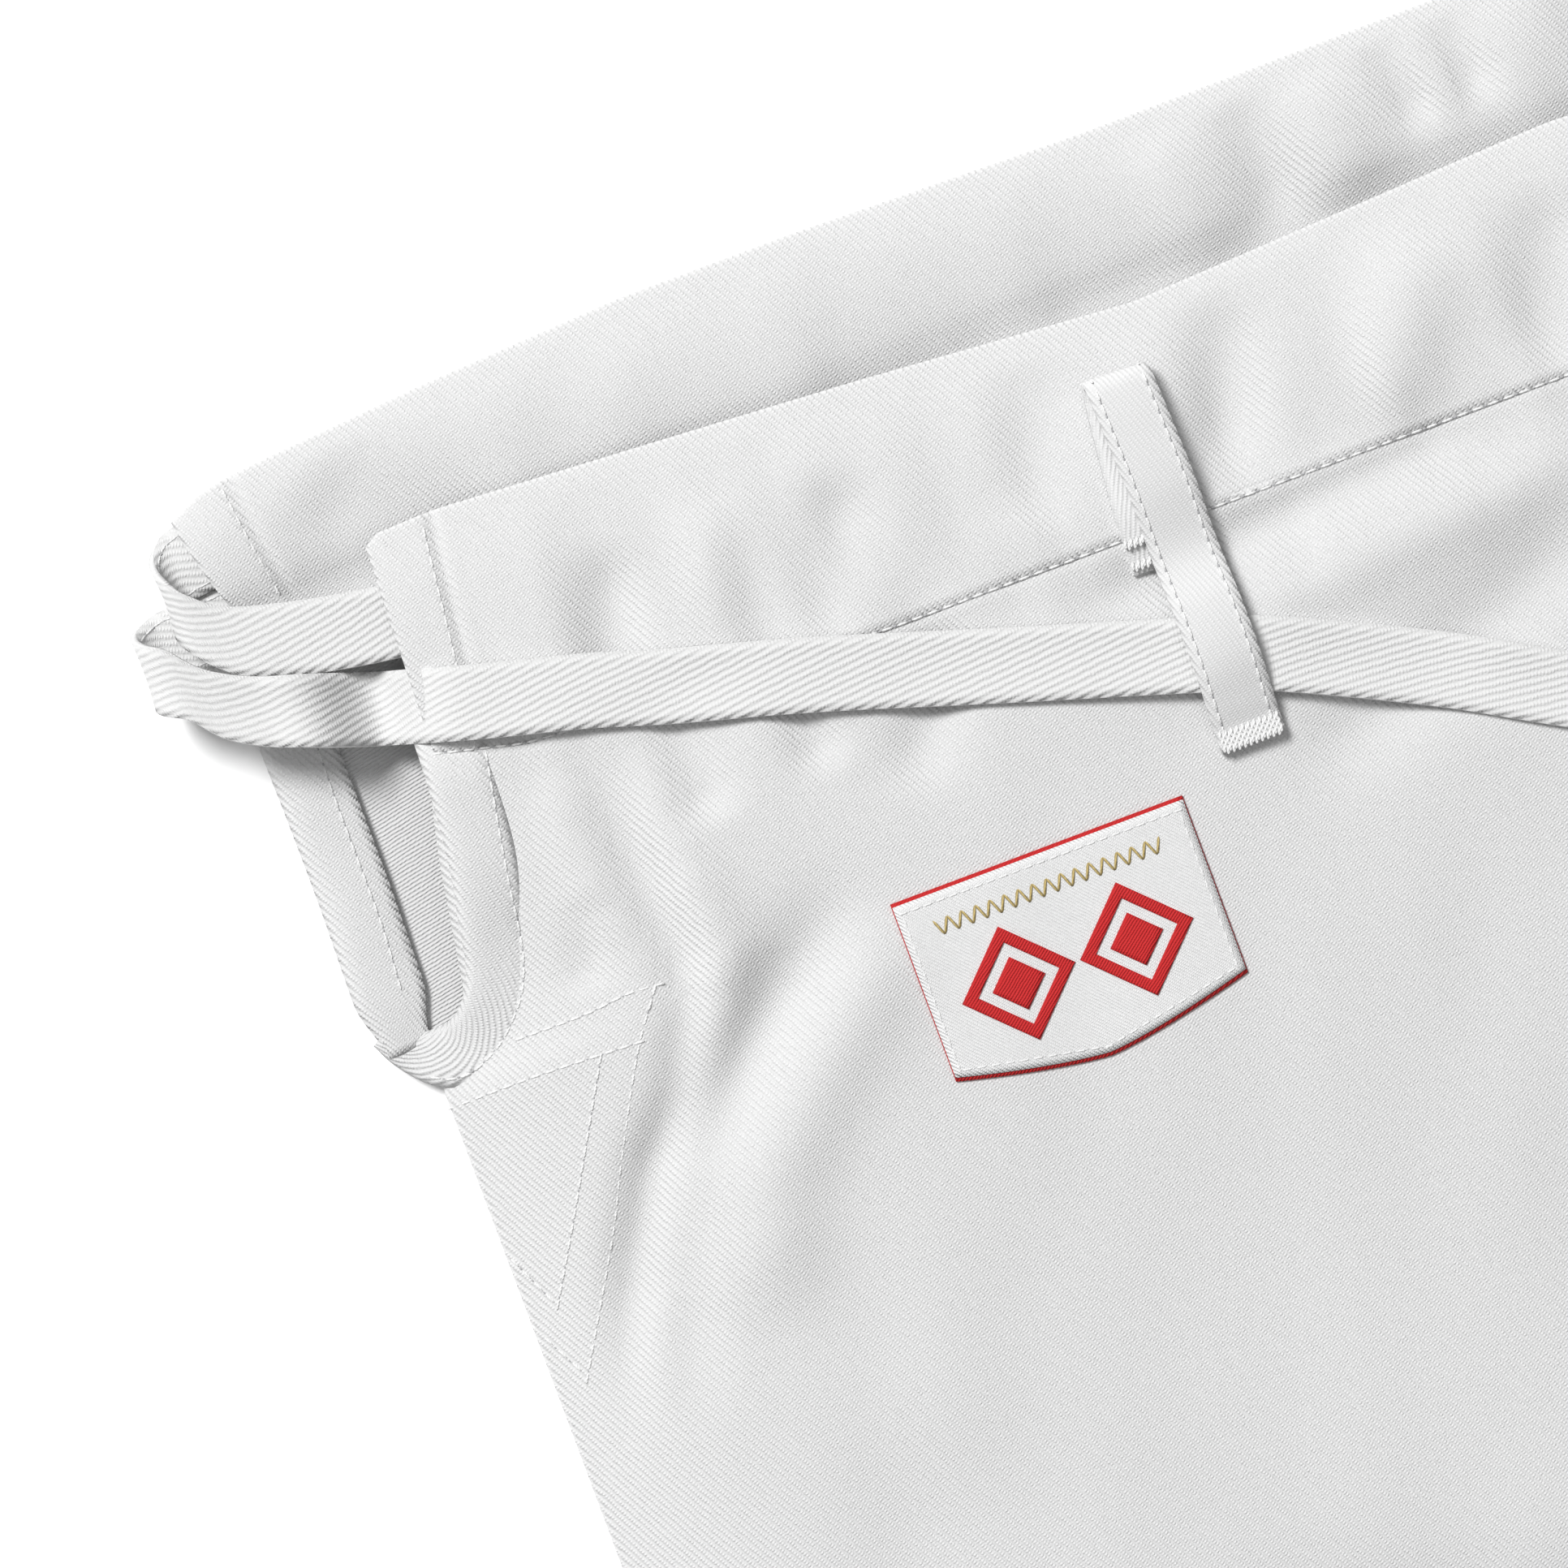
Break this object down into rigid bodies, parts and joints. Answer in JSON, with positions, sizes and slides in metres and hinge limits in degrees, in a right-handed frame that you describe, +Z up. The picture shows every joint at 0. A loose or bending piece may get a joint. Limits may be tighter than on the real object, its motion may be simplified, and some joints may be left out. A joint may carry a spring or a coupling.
{
  "type": "judo trousers",
  "caption": "White cotton drill judo trousers laid flat, with cased waist and flat drawcord, belt loops, side slits and knee patches.",
  "frame": {"origin": "on the surface the trousers lie on, under the middle of their length and width", "axes": "+X towards the wearer's left, +Y from the hems to the waist, +Z up out of the front"},
  "size_m": [0.6077, 0.97, 0.027],
  "materials": {
    "drill_white": "matt twill weave",
    "tape_cotton": "matt twill tape",
    "thread_white": "satin thread",
    "label_red": "woven edge",
    "label_white": "damask weave"
  },
  "bodies": {
    "hips_and_thighs": {"back_casing": "drill_white", "centre_back_seam": "drill_white", "centre_front_seam": "drill_white", "crotch_gusset": "drill_white", "drawcord_back_high": "tape_cotton", "drawcord_back_low": "tape_cotton", "drawcord_front": "tape_cotton", "front_casing": "drill_white", "label_backing": "label_red", "label_face": "label_white", "left_bar_tack": "thread_white", "left_belt_loop": "drill_white", "left_drawcord_end": "tape_cotton", "left_drawcord_tip": "thread_white", "left_hip_patch": "drill_white", "left_knee_patch_upper": "drill_white", "left_slit_back_facing": "drill_white", "left_slit_front_facing": "drill_white", "left_thigh_back": "drill_white", "left_thigh_front": "drill_white", "right_bar_tack": "thread_white", "right_belt_loop": "drill_white", "right_drawcord_end": "tape_cotton", "right_drawcord_tip": "thread_white", "right_hip_patch": "drill_white", "right_knee_patch_upper": "drill_white", "right_slit_back_facing": "drill_white", "right_slit_front_facing": "drill_white", "right_thigh_back": "drill_white", "right_thigh_front": "drill_white"},
    "left_lower_leg": {"left_hem": "drill_white", "left_knee_patch_lower": "drill_white", "left_shin_back": "drill_white", "left_shin_front": "drill_white"},
    "right_lower_leg": {"right_hem": "drill_white", "right_knee_patch_lower": "drill_white", "right_shin_back": "drill_white", "right_shin_front": "drill_white"}
  },
  "joints": [
    {"name": "left_knee_fold", "type": "hinge", "parent": "hips_and_thighs", "child": "left_lower_leg", "pos_m": [0.155, -0.065, 0.028], "axis": [-1, 0, 0], "range_deg": [0, 175]},
    {"name": "right_knee_fold", "type": "hinge", "parent": "hips_and_thighs", "child": "right_lower_leg", "pos_m": [-0.155, -0.065, 0.028], "axis": [-1, 0, 0], "range_deg": [0, 175]}
  ]
}
